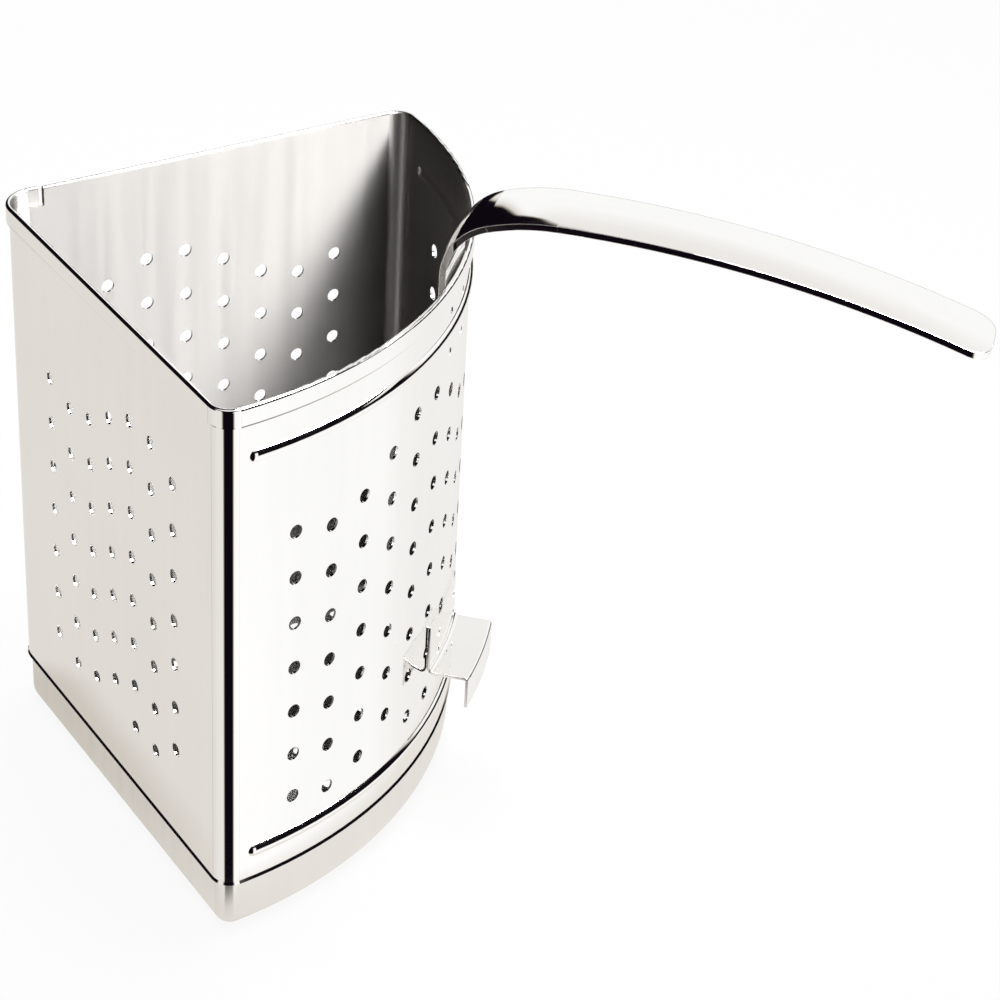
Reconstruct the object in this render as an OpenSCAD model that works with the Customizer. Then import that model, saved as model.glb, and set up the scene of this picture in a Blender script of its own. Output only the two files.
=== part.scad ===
// Sector basket strainer: one of four wedge-shaped perforated inserts of a large pasta pot.
// A folded wall sheet, a drawn base pan, a bent strip handle and a bent draining hook, welded together.
// The curved wall is centred on the pot's axis, +X runs along the bisector towards the handle, +Z is up.
// The origin lies on the flat underside of the base pan, under the sector's centroid.

/* [Sector] */
// Radius of the curved wall's outer face, from the pot's axis
wall_r = 160; // [140:1:220]
// Angle of the sector, 90 for four baskets in one pot
sector_angle = 90; // [85:1:120]
// Outer radius of the two bends beside the curved wall
corner_r = 6.5; // [6.5:0.5:12]
// Outer radius of the bend between the two straight walls
apex_r = 11; // [8:0.5:13]
// Distance by which the back wall lies outside the pot's axis
back_offset = 2.5; // [0:0.1:4]

/* [Wall sheet] */
// Height of the wall sheet, from its lower edge to the rim
wall_h = 186; // [150:1:240]
// Thickness of the wall sheet
sheet_t = 0.8; // [0.6:0.1:1.2]
// Height of the hem that is folded outwards along the rim
hem_h = 6.8; // [5:0.1:10]
// Open gap between the two layers of the hem
hem_gap = 0.3; // [0.2:0.1:1]
// Distance from the left wall to the end of the flange's hem
lap_len = 14.6; // [13:0.1:18]
// Distance from the left wall to the end of the flange that laps the back wall
flange_len = 24; // [22:0.5:27]
// Angle by which the lapped end of the back wall follows the bend
lap_turn = 35; // [20:1:60]
// Gap between the two lapped layers of the sheet
lap_gap = 0.1; // [0.05:0.05:0.3]
// How much each face of the metal thins where it is bent
bend_thinning = 0.02; // [0.01:0.01:0.05]
// Open slit between the flange's hem and the hem of the back wall
lap_slit = 1.6; // [0.5:0.1:4]
// Distance by which the lower edge of the sheet is turned out over the pan
lip_w = 0.5; // [0.2:0.1:0.8]
// Height of the turned-out lower edge
lip_h = 1.1; // [0.8:0.1:3]

/* [Beads] */
// Width of the stiffening beads on the curved wall
bead_w = 4.8; // [3:0.1:8]
// Height that the beads stand out of the wall
bead_h = 1.2; // [0.9:0.1:1.6]
// Distance from the rim down to the upper bead
upper_bead_drop = 18.9; // [14:0.1:26]
// Distance from the lower edge of the wall up to the lower bead
lower_bead_rise = 11.7; // [11:0.1:16]
// Angle between each end of a bead and the straight wall beside it
bead_margin = 4.5; // [4:0.5:12]

/* [Perforation] */
// Diameter of the drain holes
hole_d = 5; // [3:0.1:7]
// Distance between holes down one column
row_pitch = 17.6; // [12:0.05:24]
// Distance between columns of holes along the straight walls
column_pitch = 15.38; // [12:0.01:18]
// Distance between columns of holes on the near half of the curved wall
arc_pitch = 15.5; // [12:0.1:18]
// Columns in one wave of the staggered first row
wave_columns = 7; // [5:1:8]
// Mean distance from the rim down to the first hole of a column
wave_mid_drop = 46.2; // [38:0.1:60]
// Rise and fall of the first hole from column to column
wave_amplitude = 10.3; // [0:0.1:14]
// Distance from the lower edge of the wall up to the lowest possible hole
lowest_hole_rise = 22; // [18:0.5:40]
// Distance from the pot's axis to the first column of the left wall
left_start = 34.5; // [30:0.1:45]
// Distance from the left wall to the first column of the back wall
back_start = 39.2; // [32:0.1:45]
// Least distance from a column of the straight walls to the corner bend
column_margin = 18; // [12:0.5:30]
// Distance along the curved wall from each end of the sector to the outermost column
arc_margin = 28.1; // [20:0.1:40]

/* [Base pan] */
// Depth of the pan below the lower edge of the wall sheet
pan_drop = 19.8; // [14:0.1:30]
// Thickness of the pan
pan_t = 0.8; // [0.6:0.1:1.2]
// Outer radius of the pan's rounded bottom edge
pan_edge_r = 5.2; // [3:0.1:5.4]
// Height of the pan's skirt inside the wall sheet
pan_lap = 8; // [4:0.5:9]
// Radius of the first arc of floor holes, from the pot's axis
floor_first_r = 40; // [36:1:60]
// Solid border between the floor's edge and its holes
floor_border = 6; // [4:0.5:20]

/* [Handle] */
// Width of the handle strip
handle_w = 27.5; // [20:0.5:32]
// Thickness of the handle strip at its long edges
handle_t = 2.3; // [1.5:0.1:3]
// Rise of the strip's crowned upper face between its long edges
handle_crown = 1; // [0.3:0.1:1.5]
// Length of the handle's leg below the rim
leg_drop = 36; // [30:0.5:38]
// Height above the rim at which the handle starts to bend
leg_rise = 3.4; // [2:0.1:20]
// Radius of the upper edges at the root bend
root_r = 21.5; // [10:0.5:30]
// Turn of the root bend
root_turn = 72; // [60:1:85]
// Radius of the upper edges at the shoulder
shoulder_r = 73.5; // [40:0.5:150]
// Turn of the shoulder
shoulder_turn = 18.3; // [5:0.1:25]
// Radius of the upper edges of the long grip
grip_r = 436; // [300:1:800]
// Turn of the long grip
grip_turn = 19; // [10:0.1:24]
// Radius of the two corners at the handle's tip
tip_r = 8; // [3:0.5:9]
// Clearance between the edges of the flat leg and the curved wall
leg_clearance = 0.05; // [0.02:0.01:0.2]

/* [Draining hook] */
// Width of the hook across the wall
hook_w = 37.5; // [28:0.5:50]
// Thickness of the hook
hook_t = 1; // [0.6:0.1:2]
// Inner radius of the bend between the hook's leg and its shelf
hook_bend_r = 2; // [0.5:0.1:2]
// Inner radius of the bend between the hook's shelf and its lip
hook_lip_r = 0.4; // [0.3:0.1:3]
// Height of the top of the hook's shelf above the floor that the basket stands on
hook_rise = 54; // [45:0.5:100]
// Height of the hook's leg above the shelf
hook_leg_h = 19; // [19:0.5:26]
// Distance from the wall to the outer face of the hook's lip
hook_reach = 15.1; // [9:0.1:24]
// Height of the hook, from the top of the shelf to the end of the lip
hook_lip_h = 12.5; // [8:0.5:18]

/* [Spot welds] */
// Diameter of a weld nugget
weld_d = 3; // [2:0.1:3.2]
// Depth of the dimple that the electrode leaves on each side
weld_dimple = 0.2; // [0.1:0.05:0.3]
// Distance between the two columns of welds on the handle's leg
handle_weld_gap = 16; // [8:0.5:18]
// Distance from the rim down to the upper row of welds on the handle's leg
handle_weld_drop = 12; // [10:0.5:18]
// Distance between the two rows of welds on the handle's leg
handle_weld_pitch = 15.5; // [5:0.5:16]
// Angle from the bisector to the hook's weld column on the side of the left wall
hook_weld_left = 3.4; // [2:0.1:4.4]
// Angle from the bisector to the hook's weld column on the side of the back wall
hook_weld_back = 5.4; // [2:0.1:5.8]
// Distance from the top of the hook down to the upper row of welds
hook_weld_drop = 7.6; // [3:0.1:7.6]
// Distance between the two rows of welds on the hook
hook_weld_pitch = 7.7; // [5:0.1:7.7]
// Number of welds down the lapped seam
seam_weld_count = 6; // [3:1:10]
// Distance from each end of the seam to its nearest weld
seam_weld_margin = 16; // [12:1:30]

/* [Hidden] */
$fn = 180;

half_angle = sector_angle / 2;
seam_z = pan_drop;
rim_z = seam_z + wall_h;
wall_inner_r = wall_r - sheet_t;
// Distance from the pot's axis to the sector's centroid
centroid_x = 4 * wall_r * sin(half_angle) / (3 * sector_angle * PI / 180);

// Length by which a cutter reaches past the metal
cut_over = 2;
// Height of a cutter that passes the whole basket
cut_tall = 2 * rim_z;

// Outer faces of the back wall and of the flange that laps it, measured inwards from the axis
back_in = -back_offset;
flange_in = back_in - sheet_t - lap_gap;

// Length by which a straight run reaches into the bend beside it
bend_overlap = 0.2;

// The pan nests in the wall sheet, so its corners take the sheet's inner radius
pan_r = corner_r - sheet_t;
pan_apex_r = apex_r - sheet_t;
pan_arc_r = wall_inner_r;
pan_left = sheet_t;
pan_back = back_in + sheet_t;
// Length by which the floor reaches past the start of the pan's rounded edge
floor_bite = 0.5;

hem_fold_r = sheet_t + hem_gap / 2;
hem_fold_z = rim_z - hem_fold_r;
hem_low_z = rim_z - hem_h;
// The flange's free length ends below the hem of the back wall
flange_top_z = hem_low_z - lap_slit;
// The curved end of the lap stands clear of the pan's skirt
lap_low_z = seam_z + pan_lap + lap_slit;
notch_end = lap_len + lap_slit;

bead_r = (bead_w * bead_w / 4 + bead_h * bead_h) / (2 * bead_h);
bead_centre_r = wall_r + bead_h - bead_r;
bead_half_angle = half_angle - bead_margin;
bead_heights = [rim_z - upper_bead_drop, seam_z + lower_bead_rise];

deepest_drop = wall_h - lowest_hole_rise;
straight_end = wall_r - corner_r - column_margin;
left_columns = 1 + floor((straight_end - left_start) / column_pitch);
back_columns = 1 + floor((straight_end - back_start) / column_pitch);
// The curved wall is punched in two halves of equal column count, the far half spread evenly to its end
arc_reach = half_angle * PI / 180 * wall_r - arc_margin;
half_columns = 1 + floor(arc_reach / arc_pitch);
near_end = (half_columns - 1) * arc_pitch - arc_reach;
far_pitch = (arc_reach - near_end) / half_columns;

leg_face_x = sqrt(wall_inner_r * wall_inner_r - handle_w * handle_w / 4) - leg_clearance;
leg_back_x = leg_face_x - handle_t;
// Radius of the crowned face across the handle strip, and its rise at the welds
crown_r = (handle_w * handle_w / 4 + handle_crown * handle_crown) / (2 * handle_crown);
crown_at_weld = sqrt(crown_r * crown_r - handle_weld_gap * handle_weld_gap / 4) - crown_r + handle_crown;

hook_top_z = hook_rise + hook_leg_h;
// The hook is rolled a little too wide, and then its two ends are trimmed parallel
hook_half_angle = asin(hook_w / 2 / wall_r) + 1;

// Distance from the axis plane to the outer face at the handle's welds
handle_weld_x = sqrt(wall_r * wall_r - handle_weld_gap * handle_weld_gap / 4);
handle_weld_depth = handle_weld_x - leg_back_x + crown_at_weld;
hook_weld_depth = hook_t + sheet_t;
seam_weld_depth = sheet_t + lap_gap + sheet_t;

// Point at distance a inside the left radial line and b inside the back radial line
function inside_point(a, b) = [(a + b) / (2 * sin(half_angle)), (a - b) / (2 * cos(half_angle))];
// Distance from the apex to the foot of a point on the left line, and on the back line
function along_left(p) = p.x * cos(half_angle) - p.y * sin(half_angle);
function along_back(p) = p.x * cos(half_angle) + p.y * sin(half_angle);
// Angle between a radial line and the centre of a corner bend of radius r, inside an arc of radius arc_r
function corner_shift(inset, r, arc_r) = asin((inset + r) / (arc_r - r));
function polar(r, angle) = [r * cos(angle), r * sin(angle)];
// Distance from the rim down to the first hole of column k, counted from the apex round the sheet
function first_drop(k) = wave_mid_drop + wave_amplitude * cos(360 * (k - 1) / wave_columns);
function hole_drops(k) = [for (drop = [first_drop(k) : row_pitch : deepest_drop]) drop];
// Distance along the curved wall from the bisector to column k
function arc_place(k) =
    k < half_columns ? k * arc_pitch - arc_reach : near_end + (k + 1 - half_columns) * far_pitch;

// Sweep of a section along the left line. The section's x runs outwards and its y runs up
module left_run(from, to, inset)
    rotate([0, 0, -half_angle])
        translate([to, inset, 0])
            rotate([0, 0, -90])
                rotate([90, 0, 0])
                    linear_extrude(height = to - from)
                        children();

// Sweep of a section along the back line
module back_run(from, to, inset)
    rotate([0, 0, half_angle])
        translate([from, -inset, 0])
            rotate([0, 0, 90])
                rotate([90, 0, 0])
                    linear_extrude(height = to - from)
                        children();

// Sweep of a section round a vertical bend of radius r
module bend(centre, r, start, turn)
    translate([centre.x, centre.y, 0])
        rotate([0, 0, start])
            rotate_extrude(angle = turn)
                translate([r, 0])
                    children();

// Bend between the two straight walls, at the apex
module apex_bend(left, back, r)
    bend(inside_point(left + r, back + r), r, 90 + half_angle, 180 - sector_angle)
        children();

// Bend between the left wall and the curved wall
module left_bend(left, r, arc_r) {
    shift = corner_shift(left, r, arc_r);
    bend(polar(arc_r - r, shift - half_angle), r, -90 - half_angle, 90 + shift)
        children();
}

// Bend between the curved wall and the back wall
module back_bend(back, r, arc_r) {
    shift = corner_shift(back, r, arc_r);
    bend(polar(arc_r - r, half_angle - shift), r, half_angle - shift, 90 + shift)
        children();
}

// Curved wall between its two bends
module arc_run(left, back, r, arc_r) {
    left_shift = corner_shift(left, r, arc_r);
    back_shift = corner_shift(back, r, arc_r);
    reach = bend_overlap / arc_r * 180 / PI;
    start = left_shift - half_angle - reach;
    end = half_angle - back_shift + reach;
    bend([0, 0], arc_r, start, end - start)
        children();
}

// Quarter of a ring, in the quadrant that starts at the given angle
module quarter_ring(outer_r, inner_r, start)
    rotate([0, 0, start])
        intersection() {
            difference() {
                circle(r = outer_r);
                circle(r = inner_r);
            }
            square(outer_r);
        }

// Plain sheet between two heights, thinner by thin on its faces and lower edge
module plain_section(low_z, top_z, thin = 0)
    translate([thin - sheet_t, low_z + thin])
        square([sheet_t - 2 * thin, top_z - low_z - thin]);

// Sheet with its hem, thinner by thin on every face
module hemmed_section(thin = 0) {
    plain_section(seam_z, hem_fold_z, thin);
    translate([hem_gap + thin, hem_low_z + thin])
        square([sheet_t - 2 * thin, hem_fold_z - hem_low_z - thin]);
    translate([hem_gap / 2, hem_fold_z])
        for (start = [0, 90])
            quarter_ring(hem_fold_r - thin, hem_gap / 2 + thin, start);
}

// Turned-out lower edge on the sheet's outer face, thinner by thin on every face
module lip_section(thin = 0)
    polygon([
        [-sheet_t / 2, seam_z + thin],
        [lip_w - thin, seam_z + thin],
        [-thin, seam_z + lip_h - 2 * thin],
        [-sheet_t / 2, seam_z + lip_h - 2 * thin]
    ]);

// Tube of a bead, with round ends
module bead_tube(r, z) {
    translate([0, 0, z])
        rotate([0, 0, -bead_half_angle])
            rotate_extrude(angle = 2 * bead_half_angle)
                translate([bead_centre_r, 0])
                    circle(r = r, $fn = 48);
    for (side = [-1, 1])
        rotate([0, 0, side * bead_half_angle])
            translate([bead_centre_r, 0, z])
                sphere(r = r - bend_thinning, $fn = 48);
}

// Outer skin of a bead, down to the middle of the sheet
module bead(z)
    difference() {
        bead_tube(bead_r, z);
        translate([0, 0, z])
            cylinder(r = wall_r - sheet_t / 2, h = bead_w + 2 * cut_over, center = true);
    }

module folded_sheet() {
    apex = inside_point(apex_r, flange_in + apex_r);
    left_end = along_left(polar(wall_r - corner_r, corner_shift(0, corner_r, wall_r) - half_angle));
    back_end = along_back(polar(wall_r - corner_r, half_angle - corner_shift(back_in, corner_r, wall_r)));
    left_run(along_left(apex) - bend_overlap, left_end + bend_overlap, 0)
        hemmed_section();
    arc_run(0, back_in, corner_r, wall_r)
        hemmed_section();
    back_run(notch_end, back_end + bend_overlap, back_in)
        hemmed_section();
    back_run(along_back(apex) - bend_overlap, notch_end + bend_overlap, back_in)
        plain_section(seam_z, hem_low_z);
    bend(apex, apex_r + flange_in - back_in, 90 + half_angle, lap_turn)
        plain_section(lap_low_z, hem_low_z - bend_thinning, bend_thinning);
    back_run(along_back(apex) - bend_overlap, lap_len, flange_in)
        hemmed_section();
    back_run(lap_len - bend_overlap, flange_len, flange_in)
        plain_section(seam_z, flange_top_z);
    apex_bend(0, flange_in, apex_r)
        hemmed_section(bend_thinning);
    left_bend(0, corner_r, wall_r)
        hemmed_section(bend_thinning);
    back_bend(back_in, corner_r, wall_r)
        hemmed_section(bend_thinning);
}

// The lip runs round the whole outside, with a slit where the flange ends on the back wall
module turned_lip() {
    apex = inside_point(apex_r, flange_in + apex_r);
    left_end = along_left(polar(wall_r - corner_r, corner_shift(0, corner_r, wall_r) - half_angle));
    back_end = along_back(polar(wall_r - corner_r, half_angle - corner_shift(back_in, corner_r, wall_r)));
    left_run(along_left(apex) - bend_overlap, left_end + bend_overlap, 0)
        lip_section();
    arc_run(0, back_in, corner_r, wall_r)
        lip_section();
    back_run(flange_len + lap_slit, back_end + bend_overlap, back_in)
        lip_section();
    back_run(along_back(apex) - bend_overlap, flange_len, flange_in)
        lip_section();
    apex_bend(0, flange_in, apex_r)
        lip_section(bend_thinning);
    left_bend(0, corner_r, wall_r)
        lip_section(bend_thinning);
    back_bend(back_in, corner_r, wall_r)
        lip_section(bend_thinning);
}

// Cutter for one drain hole, along the direction that leaves the wall at the given angle
module hole_cutter(angle)
    rotate([0, 90, angle])
        cylinder(d = hole_d, h = 2 * (sheet_t + cut_over), center = true, $fn = 32);

module wall_holes() {
    for (k = [0 : left_columns - 1], drop = hole_drops(k)) {
        left = polar(left_start + k * column_pitch, -half_angle);
        translate([left.x, left.y, rim_z - drop])
            hole_cutter(-90 - half_angle);
    }
    for (k = [0 : back_columns - 1], drop = hole_drops(wave_columns - 1 - k)) {
        back = polar(back_start + k * column_pitch, half_angle) + polar(back_in, half_angle - 90);
        translate([back.x, back.y, rim_z - drop])
            hole_cutter(90 + half_angle);
    }
    for (k = [0 : 2 * half_columns - 1], drop = hole_drops(k)) {
        angle = arc_place(k) / wall_r * 180 / PI;
        arc = polar(wall_r, angle);
        translate([arc.x, arc.y, rim_z - drop])
            hole_cutter(angle);
    }
}

// Places of the welds, with the weld's axis along x and x = 0 on the outer side
module at_handle_welds()
    for (side = [-1, 1], row = [0, 1]) {
        drop = handle_weld_drop + row * handle_weld_pitch;
        translate([handle_weld_x, side * handle_weld_gap / 2, rim_z - drop])
            children();
    }

module at_hook_welds()
    for (angle = [-hook_weld_left, hook_weld_back], row = [0, 1])
        rotate([0, 0, angle])
            translate([wall_r + hook_t, 0, hook_top_z - hook_weld_drop - row * hook_weld_pitch])
                children();

module at_seam_welds() {
    seam_step = (flange_top_z - seam_z - 2 * seam_weld_margin) / (seam_weld_count - 1);
    seam_along = (apex_r + flange_len) / 2;
    for (i = [0 : seam_weld_count - 1])
        rotate([0, 0, half_angle])
            translate([seam_along, -flange_in, seam_z + seam_weld_margin + i * seam_step])
                rotate([0, 0, 90])
                    children();
}

// Nugget that reaches from a dimple below the outer face to a dimple below the inner face
module nugget(depth)
    translate([-depth + weld_dimple, 0, 0])
        rotate([0, 90, 0])
            cylinder(d = weld_d, h = depth - 2 * weld_dimple, $fn = 32);

module nugget_cutter(depth)
    translate([-depth - cut_over, 0, 0])
        rotate([0, 90, 0])
            cylinder(d = weld_d, h = depth + 2 * cut_over, $fn = 32);

// Moves a piece from the pot's axis to the part's own origin
module placed()
    translate([-centroid_x, 0, 0])
        children();

module wall_sheet()
    color("gainsboro")
        placed() difference() {
            union() {
                folded_sheet();
                turned_lip();
                for (z = bead_heights)
                    bead(z);
            }
            for (z = bead_heights)
                bead_tube(bead_r - sheet_t, z);
            wall_holes();
            at_handle_welds()
                nugget_cutter(handle_weld_depth);
            at_hook_welds()
                nugget_cutter(hook_weld_depth);
            at_seam_welds()
                nugget_cutter(seam_weld_depth);
        }

// Skirt and rounded bottom edge of the pan, thinner by thin on every face
module pan_section(thin) {
    translate([thin - pan_t, pan_edge_r])
        square([pan_t - 2 * thin, seam_z + pan_lap - thin - pan_edge_r]);
    translate([-pan_edge_r, pan_edge_r])
        quarter_ring(pan_edge_r - thin, pan_edge_r - pan_t + thin, -90);
}

// Flat floor of the pan, with its corners cut off inside the corner bends
module floor_outline() {
    edge = pan_edge_r - floor_bite;
    left_angle = corner_shift(pan_left, pan_r, pan_arc_r) - half_angle;
    back_angle = half_angle - corner_shift(pan_back, pan_r, pan_arc_r);
    beyond = pan_arc_r - edge + floor_bite;
    translate(inside_point(pan_left + pan_apex_r, pan_back + pan_apex_r))
        circle(r = pan_apex_r - edge - bend_overlap);
    intersection() {
        circle(r = pan_arc_r - edge);
        polygon([
            inside_point(pan_left + pan_apex_r, pan_back + edge),
            inside_point(pan_left + edge, pan_back + pan_apex_r),
            polar(pan_arc_r - pan_r, left_angle) + polar(pan_r - edge, -90 - half_angle),
            polar(beyond, left_angle),
            polar(2 * beyond, left_angle),
            polar(2 * beyond, back_angle),
            polar(beyond, back_angle),
            polar(pan_arc_r - pan_r, back_angle) + polar(pan_r - edge, 90 + half_angle)
        ]);
    }
}

// Arcs of holes about the pot's axis, each spread evenly between the straight walls
module floor_holes() {
    edge = corner_r + floor_border;
    for (r = [floor_first_r : row_pitch : pan_arc_r - pan_r - floor_border]) {
        half_span = half_angle - asin(edge / r);
        steps = floor(2 * half_span * PI / 180 * r / column_pitch);
        for (i = [0 : steps])
            rotate([0, 0, half_span * (2 * i / steps - 1)])
                translate([r, 0, pan_t / 2])
                    cylinder(d = hole_d, h = pan_t + 2 * cut_over, center = true, $fn = 32);
    }
}

module drawn_pan() {
    apex = inside_point(pan_left + pan_apex_r, pan_back + pan_apex_r);
    left_corner = polar(pan_arc_r - pan_r, corner_shift(pan_left, pan_r, pan_arc_r) - half_angle);
    back_corner = polar(pan_arc_r - pan_r, half_angle - corner_shift(pan_back, pan_r, pan_arc_r));
    linear_extrude(height = pan_t)
        floor_outline();
    left_run(along_left(apex) - bend_overlap, along_left(left_corner) + bend_overlap, pan_left)
        pan_section(bend_thinning);
    back_run(along_back(apex) - bend_overlap, along_back(back_corner) + bend_overlap, pan_back)
        pan_section(bend_thinning);
    arc_run(pan_left, pan_back, pan_r, pan_arc_r)
        pan_section(bend_thinning);
    apex_bend(pan_left, pan_back, pan_apex_r)
        pan_section(2 * bend_thinning);
    left_bend(pan_left, pan_r, pan_arc_r)
        pan_section(2 * bend_thinning);
    back_bend(pan_back, pan_r, pan_arc_r)
        pan_section(2 * bend_thinning);
}

module base_pan()
    color("gainsboro")
        placed() difference() {
            drawn_pan();
            floor_holes();
        }

// Section of the handle strip, flat below and crowned above, thinner by thin on every face
module strip_section(thin)
    intersection() {
        translate([thin - handle_t, thin - handle_w / 2])
            square([handle_t + handle_crown, handle_w - 2 * thin]);
        translate([handle_crown - crown_r, 0])
            circle(r = crown_r - thin, $fn = 720);
    }

// Strip bent clockwise in the XZ plane, from a point level with its upper edges and a heading,
// thinner by thin on every face and longer by over at both ends
module strip_bend(start, heading, r, turn, thin, over) {
    centre = start + polar(r, heading - 90);
    reach = over / r * 180 / PI;
    translate([centre.x, 0, centre.y])
        rotate([90, 0, 0])
            rotate([0, 0, heading + 90 - turn - reach])
                rotate_extrude(angle = turn + 2 * reach)
                    translate([r, 0])
                        strip_section(thin);
}

function after_bend(start, heading, r, turn) =
    start + polar(r, heading - 90) + polar(r, heading - turn + 90);

// Waste outside the round corner at one side of the tip
module tip_waste(tip_x, side)
    translate([tip_x - tip_r, side * (handle_w / 2 - tip_r), 0])
        difference() {
            translate([0, side > 0 ? 0 : -tip_r - cut_over, 0])
                cube([tip_r + cut_over, tip_r + cut_over, cut_tall]);
            cylinder(r = tip_r, h = 2 * cut_tall + cut_over, center = true);
        }

module handle() {
    leg_top = [leg_back_x, rim_z + leg_rise];
    shoulder = after_bend(leg_top, 90, root_r, root_turn);
    shoulder_heading = 90 - root_turn;
    grip = after_bend(shoulder, shoulder_heading, shoulder_r, shoulder_turn);
    grip_heading = shoulder_heading - shoulder_turn;
    tip = after_bend(grip, grip_heading, grip_r, grip_turn);
    color("whitesmoke")
        placed() difference() {
            union() {
                translate([leg_back_x, 0, rim_z - leg_drop])
                    mirror([1, 0, 0])
                        linear_extrude(height = leg_drop + leg_rise + bend_overlap)
                            strip_section(0);
                strip_bend(leg_top, 90, root_r, root_turn, bend_thinning, 0);
                strip_bend(shoulder, shoulder_heading, shoulder_r, shoulder_turn, 0, bend_overlap);
                strip_bend(grip, grip_heading, grip_r, grip_turn, bend_thinning, 0);
            }
            for (side = [-1, 1])
                tip_waste(tip.x, side);
            at_handle_welds()
                nugget_cutter(handle_weld_depth);
        }
}

module hook_section() {
    leg_outer = hook_bend_r + hook_t;
    lip_outer = hook_lip_r + hook_t;
    lip_centre = [hook_reach - lip_outer, hook_rise - lip_outer];
    translate([0, hook_rise + hook_bend_r])
        square([hook_t, hook_leg_h - hook_bend_r]);
    translate([leg_outer, hook_rise + hook_bend_r])
        quarter_ring(leg_outer, hook_bend_r, 180);
    translate([leg_outer, hook_rise - hook_t])
        square([lip_centre.x - leg_outer, hook_t]);
    translate(lip_centre)
        quarter_ring(lip_outer, hook_lip_r, 0);
    translate([hook_reach - hook_t, hook_rise - hook_lip_h])
        square([hook_t, hook_lip_h - lip_outer]);
}

module draining_hook()
    color("whitesmoke")
        placed() difference() {
            bend([0, 0], wall_r, -hook_half_angle, 2 * hook_half_angle)
                hook_section();
            for (side = [0, 1])
                mirror([0, side, 0])
                    translate([wall_r - 2 * cut_over, hook_w / 2, 0])
                        cube([hook_reach + 4 * cut_over, hook_reach, cut_tall]);
            at_hook_welds()
                nugget_cutter(hook_weld_depth);
        }

module handle_welds()
    color("silver")
        placed() at_handle_welds()
            nugget(handle_weld_depth);

module hook_welds()
    color("silver")
        placed() at_hook_welds()
            nugget(hook_weld_depth);

module seam_welds()
    color("silver")
        placed() at_seam_welds()
            nugget(seam_weld_depth);

wall_sheet();
base_pan();
handle();
draining_hook();
handle_welds();
hook_welds();
seam_welds();
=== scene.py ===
"""Looks of the sector basket strainer: polished sheet steel in a plain white studio."""

import math

import bpy
from mathutils import Matrix, Vector
from mathutils.geometry import convex_hull_2d


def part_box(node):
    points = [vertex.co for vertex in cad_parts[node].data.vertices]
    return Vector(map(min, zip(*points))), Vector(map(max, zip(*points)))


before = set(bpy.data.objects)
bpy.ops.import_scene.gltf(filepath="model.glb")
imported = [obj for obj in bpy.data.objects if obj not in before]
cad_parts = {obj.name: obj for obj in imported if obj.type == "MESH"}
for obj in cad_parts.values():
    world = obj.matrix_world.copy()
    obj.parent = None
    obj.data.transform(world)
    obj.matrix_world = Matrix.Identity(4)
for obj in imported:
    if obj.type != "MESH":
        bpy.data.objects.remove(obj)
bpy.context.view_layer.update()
scene = bpy.context.scene

# Sizes in metres. The wall's beads stand out a little past wall_r, so axis_x is about the pot's axis
wall_r = 0.160
axis_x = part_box("wall_sheet")[1].x - wall_r
hem_h = 0.0068
hem_low_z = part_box("wall_sheet")[1].z - hem_h
hem_flare_h = 0.0005
hem_flare_slope = 0.13
handle_edge_r = 0.0004
hook_edge_r = 0.0003
floor_size = 8.0
floor_z = -0.0003
# Height of the sheet of painted floor shade, which only mirrors see
floor_shade_z = -0.0002
# Lengths below this are taken as this, so that nothing is divided by zero
least = 0.001

# Colours and roughness of the steel
steel_tone = (0.95, 0.945, 0.925)
# Darker tone of the inner faces: painted shade of the basket's inside
inside_shade_tone = (0.40, 0.389, 0.377, 1)
polished_rough = 0.05
pan_rough = 0.14
weld_rough = 0.2
satin_rough = 0.5
# Stretch of the polishing streaks, down the sheet or along a strip
down_sheet = (1.0, 1.0, 0.04)
along_strip = (0.04, 1.0, 1.0)

# Camera at the photograph's viewing angle, solved from the photo
cam_data = bpy.data.cameras.new("camera")
cam_data.sensor_fit = "HORIZONTAL"
cam_data.sensor_width = 36.0
cam_data.lens = 104.6
cam_data.clip_start = 0.05
cam_data.clip_end = 50.0
camera = bpy.data.objects.new("camera", cam_data)
scene.collection.objects.link(camera)
right = Vector((0.97380871, 0.22203126, 0.04897668))
back = Vector((0.16214612, -0.82916453, 0.5349718))
spot = Vector((0.24508, -0.83337, 0.65588))
turned = Matrix((right, back.cross(right), back)).transposed().to_4x4()
camera.matrix_world = Matrix.Translation(spot) @ turned
scene.camera = camera

scene.view_settings.view_transform = "Standard"


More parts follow.
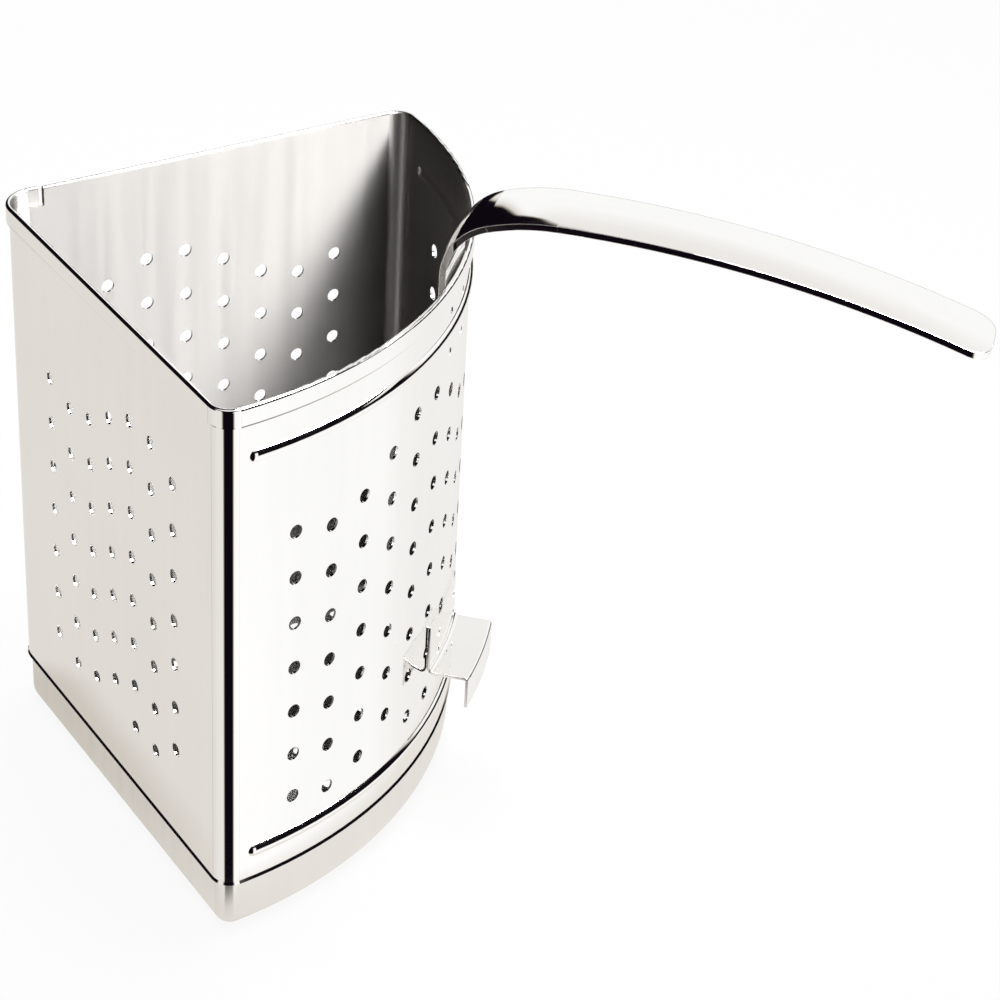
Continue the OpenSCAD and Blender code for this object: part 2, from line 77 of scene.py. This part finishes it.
class Tree:
    """Short names for adding and wiring the shader nodes of a material or world."""

    def __init__(self, owner):
        owner.use_nodes = True
        self.tree = owner.node_tree
        self.tree.nodes.clear()

    def node(self, kind, **settings):
        n = self.tree.nodes.new(kind)
        for key, value in settings.items():
            setattr(n, key, value)
        return n

    def put(self, socket, value):
        if isinstance(value, bpy.types.NodeSocket):
            self.tree.links.new(value, socket)
        else:
            socket.default_value = value

    def math(self, operation, *values):
        n = self.node("ShaderNodeMath", operation=operation)
        for i, value in enumerate(values):
            self.put(n.inputs[i], value)
        return n.outputs[0]

    def product(self, total, *others):
        for value in others:
            total = self.math("MULTIPLY", total, value)
        return total

    def dot(self, values, weights):
        parts = [self.math("MULTIPLY", value, weight) for value, weight in zip(values, weights)]
        total = parts[0]
        for part in parts[1:]:
            total = self.math("ADD", total, part)
        return total

    def length(self, x, y):
        return self.math("MAXIMUM", self.math("SQRT", self.dot((x, y), (x, y))), least)

    def ramp(self, value, low, high, to_low=0.0, to_high=1.0):
        n = self.node("ShaderNodeMapRange", interpolation_type="SMOOTHSTEP", clamp=True)
        for name, v in (
            ("Value", value),
            ("From Min", low),
            ("From Max", high),
            ("To Min", to_low),
            ("To Max", to_high),
        ):
            self.put(n.inputs[name], v)
        return n.outputs["Result"]

    def mix(self, factor, a, b):
        n = self.node("ShaderNodeMix", data_type="RGBA")
        self.put(n.inputs["Factor"], factor)
        self.put(n.inputs[6], a)
        self.put(n.inputs[7], b)
        return n.outputs[2]

    def mix_shaders(self, factor, a, b):
        n = self.node("ShaderNodeMixShader")
        for i, value in enumerate((factor, a, b)):
            self.put(n.inputs[i], value)
        return n.outputs[0]

    def coordinate(self, kind):
        return self.node("ShaderNodeTexCoord").outputs[kind]

    def split(self, vector):
        n = self.node("ShaderNodeSeparateXYZ")
        self.put(n.inputs[0], vector)
        return n.outputs[0], n.outputs[1], n.outputs[2]

    def noise(self, vector, scale, detail):
        n = self.node("ShaderNodeTexNoise")
        self.put(n.inputs["Vector"], vector)
        n.inputs["Scale"].default_value = scale
        n.inputs["Detail"].default_value = detail
        return n.outputs[0]

    def show(self, shader, kind="ShaderNodeOutputMaterial"):
        self.put(self.node(kind).inputs["Surface"], shader)


def studio_glow(t):
    """Brightness of the studio by direction: lit table, back sheet and soft box in a dark room."""
    dx, dy, dz = t.split(t.coordinate("Generated"))
    level = t.length(dx, dy)

    def facing(x, y):
        return t.math("DIVIDE", t.dot((dx, dy), (x, y)), level)

    to_camera = facing(0.19, -0.982)
    to_back = facing(0.25, 0.968)
    to_right = facing(0.9, 0.436)
    # Table, brighter on the right and near the object, with a dark gap towards the camera
    table = t.ramp(to_right, -0.6, 0.75, 0.77, 1.0)
    table = t.math("ADD", table, t.ramp(to_camera, -0.2, 0.6, 0.0, 0.06))
    low = t.ramp(dz, -0.38, -0.28, 1.0, 0.0)
    # Two panels beside the camera carry the table's light up
    panels = t.product(t.ramp(to_camera, 0.45, 0.62), t.ramp(dz, 0.30, 0.42, 1.0, 0.0))
    table = t.product(
        table,
        t.ramp(to_back, 0.70, 0.98, 1.0, 0.91),
        t.ramp(dz, -0.85, -0.6, 1.06, 1.0),
        t.math("MAXIMUM", low, panels),
        t.ramp(to_camera, 0.84, 0.93, 1.0, 0.0),
    )
    # Back sheet, cut off on the left and slanting above
    side = t.dot((dx, dy), (0.9026, 0.4305))
    lean = t.dot((dx, dy, dz), (0.579, 0.606, -0.544))
    sheet = t.product(
        t.ramp(side, 0.005, 0.03),
        t.ramp(lean, -0.012, 0.012),
        t.ramp(to_back, 0.72, 0.82),
        t.ramp(dz, -0.02, 0.05),
        t.ramp(dz, 0.42, 0.66, 1.0, 0.88),
    )
    # Soft box above the camera
    box = t.product(t.ramp(to_camera, 0.1, 0.5), t.ramp(dz, 0.62, 0.74))
    return t.math("MAXIMUM", t.math("MAXIMUM", table, sheet), box)


def studio():
    world = bpy.data.worlds.new("studio")
    t = Tree(world)
    # Colours by brightness: an almost black room, warm greys and white
    room = t.node("ShaderNodeValToRGB")
    t.put(room.inputs[0], t.math("MULTIPLY", studio_glow(t), 0.9))
    stops = room.color_ramp.elements
    stops[0].color = (0.004, 0.0025, 0.005, 1)
    stops[1].color = (1.1, 1.1, 1.1, 1)
    for place, grey in (
        (0.56, (0.63, 0.585, 0.53, 1)),
        (0.69, (0.77, 0.735, 0.70, 1)),
        (0.9, (1, 1, 1, 1)),
    ):
        stops.new(place).color = grey
    # Plain white for the camera, the studio for mirrors, a faint fill for everything else
    path = t.node("ShaderNodeLightPath")
    shown = t.mix(path.outputs["Is Glossy Ray"], (0.06, 0.055, 0.06, 1), room.outputs[0])
    shown = t.mix(path.outputs["Is Camera Ray"], shown, (1, 1, 1, 1))
    background = t.node("ShaderNodeBackground")
    t.put(background.inputs["Color"], shown)
    t.show(background.outputs[0], "ShaderNodeOutputWorld")
    return world


scene.world = studio()


def floor_white():
    """White floor that takes shadows and, for the camera, is mostly its own light."""
    material = bpy.data.materials.new("floor_white")
    t = Tree(material)
    diffuse = t.node("ShaderNodeBsdfDiffuse")
    diffuse.inputs["Color"].default_value = (0.9, 0.9, 0.9, 1)
    glow = t.node("ShaderNodeEmission")
    glow.inputs["Strength"].default_value = 1.0
    seen = t.product(t.node("ShaderNodeLightPath").outputs["Is Camera Ray"], 0.9)
    t.show(t.mix_shaders(seen, diffuse.outputs[0], glow.outputs[0]))
    return material


# Floor
bpy.ops.mesh.primitive_plane_add(size=floor_size, location=(0, 0, floor_z))
floor = bpy.context.object
floor.name = "floor"
floor.data.materials.append(floor_white())
floor.visible_glossy = False


def painted_floor_shade():
    """Painted shade of the floor round the foot: a grey glow, darker on the left, that fades out with
    the mesh's fade attribute.
    """
    material = bpy.data.materials.new("painted_floor_shade")
    t = Tree(material)
    glow = t.node("ShaderNodeEmission")
    # Painted shade: the glow is darker on the left
    across = t.ramp(t.split(t.coordinate("Object"))[0], -0.09, 0.06)
    t.put(glow.inputs["Color"], t.mix(across, (0.64, 0.60, 0.55, 1), (0.84, 0.80, 0.76, 1)))
    clear = t.node("ShaderNodeBsdfTransparent")
    fade = t.node("ShaderNodeAttribute", attribute_name="fade").outputs["Fac"]
    t.show(t.mix_shaders(fade, clear.outputs[0], glow.outputs[0]))
    return material


def floor_shade_rings(inner_reach, outer_reach):
    """Inner and outer edge of the sheet of painted floor shade, each at its distance round the basket's
    foot.
    """
    foot_apex = 0.014
    foot_r = 0.150
    foot_turn = 40
    ways = 72
    short_reach = 0.001
    foot = [(axis_x + foot_apex, 0.0)]
    for degrees in range(-foot_turn, foot_turn + 1, 5):
        angle = math.radians(degrees)
        foot.append((axis_x + foot_r * math.cos(angle), foot_r * math.sin(angle)))
    circle = [(math.cos(k * math.tau / ways), math.sin(k * math.tau / ways)) for k in range(ways)]

    def reached(corner, way, reach):
        return corner[0] + reach * way[0], corner[1] + reach * way[1]

    # A corner of the foot and a way out from it are on the edge if they are on it at a short reach
    pairs = [(corner, way) for corner in foot for way in circle]
    hull = convex_hull_2d([Vector(reached(*pair, short_reach)) for pair in pairs])
    return [
        [(*reached(*pairs[i], reach), floor_shade_z) for i in hull]
        for reach in (inner_reach, outer_reach)
    ]


# Sheet of painted floor shade under the foot, a grey glow which only mirrors see, fading out at its
# edge
inner_ring, outer_ring = floor_shade_rings(0.026, 0.036)
count = len(inner_ring)
floor_shade_mesh = bpy.data.meshes.new("floor_shade_sheet")
floor_shade_mesh.from_pydata(
    inner_ring + outer_ring,
    [],
    [tuple(range(count))]
    + [(i, count + i, count + (i + 1) % count, (i + 1) % count) for i in range(count)],
)
fade = floor_shade_mesh.attributes.new("fade", "FLOAT", "POINT")
fade.data.foreach_set("value", [1.0] * count + [0.0] * count)
floor_shade_mesh.materials.append(painted_floor_shade())
floor_shade_sheet = bpy.data.objects.new("floor_shade_sheet", floor_shade_mesh)
scene.collection.objects.link(floor_shade_sheet)
floor_shade_sheet.visible_camera = False
floor_shade_sheet.visible_diffuse = False
floor_shade_sheet.visible_shadow = False


def lamp(name, size, energy, place, target, mirrored):
    """Round soft lamp that either mirrors see or everything else does."""
    data = bpy.data.lights.new(name, "AREA")
    data.shape = "DISK"
    data.size = size
    data.energy = energy
    obj = bpy.data.objects.new(name, data)
    obj.location = place
    obj.rotation_euler = (Vector(target) - Vector(place)).to_track_quat("-Z", "Y").to_euler()
    obj.visible_glossy = mirrored
    obj.visible_diffuse = not mirrored
    obj.visible_camera = False
    scene.collection.objects.link(obj)


# One lamp overhead for the floor's shadow, one over the curved wall for the inside
lamp(
    "overhead",
    size=1.6,
    energy=40.0,
    place=(0.0, 0.2, 1.8),
    target=(0, 0, 0),
    mirrored=False,
)
lamp(
    "inside",
    size=1.4,
    energy=120.0,
    place=(0.82, 0.38, 1.50),
    target=(0, 0.03, 0.15),
    mirrored=True,
)


def scaled(colour, share):
    return tuple(c * share for c in colour)


def inner_faces(t, coord, floored):
    """1 on the basket's inner faces, with the pan's floor if floored, and 0 elsewhere."""
    x, y, _ = t.split(coord)
    x = t.math("SUBTRACT", x, axis_x)
    nx, ny, nz = t.split(t.coordinate("Normal"))
    # The curved wall, where the face looks back to the axis
    outward = t.math("DIVIDE", t.dot((x, y), (nx, ny)), t.length(x, y))
    mask = t.ramp(outward, -0.6, -0.45, 1.0, 0.0)
    # The flat walls, on the lines where x - y and x + y are 0
    for sign in ("SUBTRACT", "ADD"):
        near = t.ramp(t.math(sign, x, y), 0.02, 0.03, 1.0, 0.0)
        faces = t.ramp(t.math(sign, nx, ny), 0.64, 0.85)
        mask = t.math("MAXIMUM", mask, t.product(near, faces))
    if floored:
        mask = t.math("MAXIMUM", mask, t.ramp(nz, 0.5, 0.7))
    return mask


def hem_flare(t, coord, inner):
    """Normal that leans up on the hem's lower edge, on the outside only."""
    z = t.split(coord)[2]
    down = t.math("SUBTRACT", hem_low_z + hem_flare_h, z)
    down = t.math("MINIMUM", t.math("MAXIMUM", down, 0.0), hem_flare_h)
    bump = t.node("ShaderNodeBump")
    bump.inputs["Strength"].default_value = 1.0
    bump.inputs["Distance"].default_value = 1.0
    height = t.product(down, hem_flare_slope, t.math("SUBTRACT", 1.0, inner))
    t.put(bump.inputs["Height"], height)
    return bump.outputs[0]


def steel(name, colour, rough, drawn=down_sheet, satin_and_shade=False, floored=False, hemmed=False, edge_r=None):
    """Polished steel, with satin inner faces painted darker as shade of the basket's inside, a flared
    hem on a satin sheet, or rounded edges.
    """
    material = bpy.data.materials.new(name)
    t = Tree(material)
    bsdf = t.node("ShaderNodeBsdfPrincipled")
    bsdf.inputs["Metallic"].default_value = 1.0
    coord = t.coordinate("Object")
    # Faint clouds, and streaks drawn along the steel by the polishing belt
    cloud = t.noise(coord, 14.0, 4.0)
    squeeze = t.node("ShaderNodeMapping")
    t.put(squeeze.inputs["Vector"], coord)
    squeeze.inputs["Scale"].default_value = drawn
    streak = t.noise(squeeze.outputs[0], 240.0, 5.0)
    tint = t.ramp(t.dot((cloud, streak), (0.6, 0.4)), 0.35, 0.65)
    base = t.mix(tint, (*scaled(colour, 0.988), 1.0), (*scaled(colour, 1.012), 1.0))
    shine = t.ramp(streak, 0.3, 0.7, rough * 0.75, rough * 1.25)
    if satin_and_shade:
        inner = inner_faces(t, coord, floored)
        dull = t.ramp(streak, 0.3, 0.7, satin_rough * 0.9, satin_rough * 1.1)
        blend = t.node("ShaderNodeMix", data_type="FLOAT")
        t.put(blend.inputs["Factor"], inner)
        t.put(blend.inputs[2], shine)
        t.put(blend.inputs[3], dull)
        shine = blend.outputs[0]
        # Inner faces take a darker tone, painted shade of the basket's inside, on top of their real
        # satin roughness
        base = t.mix(inner, base, inside_shade_tone)
        # The satin is brushed along the sheet, so its lights spread up and down
        bsdf.inputs["Anisotropic"].default_value = 1.0
        bsdf.inputs["Anisotropic Rotation"].default_value = 0.25
        tangent = t.node("ShaderNodeTangent", direction_type="RADIAL", axis="Z")
        t.put(bsdf.inputs["Tangent"], tangent.outputs[0])
        if hemmed:
            t.put(bsdf.inputs["Normal"], hem_flare(t, coord, inner))
    if edge_r:
        bevel = t.node("ShaderNodeBevel", samples=6)
        bevel.inputs["Radius"].default_value = edge_r
        t.put(bsdf.inputs["Normal"], bevel.outputs[0])
    t.put(bsdf.inputs["Base Color"], base)
    t.put(bsdf.inputs["Roughness"], shine)
    t.show(bsdf.outputs[0])
    return material


weld_steel = steel("weld_steel", scaled(steel_tone, 0.9), weld_rough)
finish = {
    "wall_sheet": steel("wall_steel", steel_tone, polished_rough, satin_and_shade=True, hemmed=True),
    "base_pan": steel("pan_steel", scaled(steel_tone, 0.97), pan_rough, satin_and_shade=True, floored=True),
    "handle": steel("handle_steel", steel_tone, polished_rough, along_strip, edge_r=handle_edge_r),
    "draining_hook": steel("hook_steel", steel_tone, polished_rough, along_strip, edge_r=hook_edge_r),
    "handle_welds": weld_steel,
    "hook_welds": weld_steel,
    "seam_welds": weld_steel,
}
for name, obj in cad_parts.items():
    for i in range(len(obj.data.materials)):
        obj.data.materials[i] = finish[name]
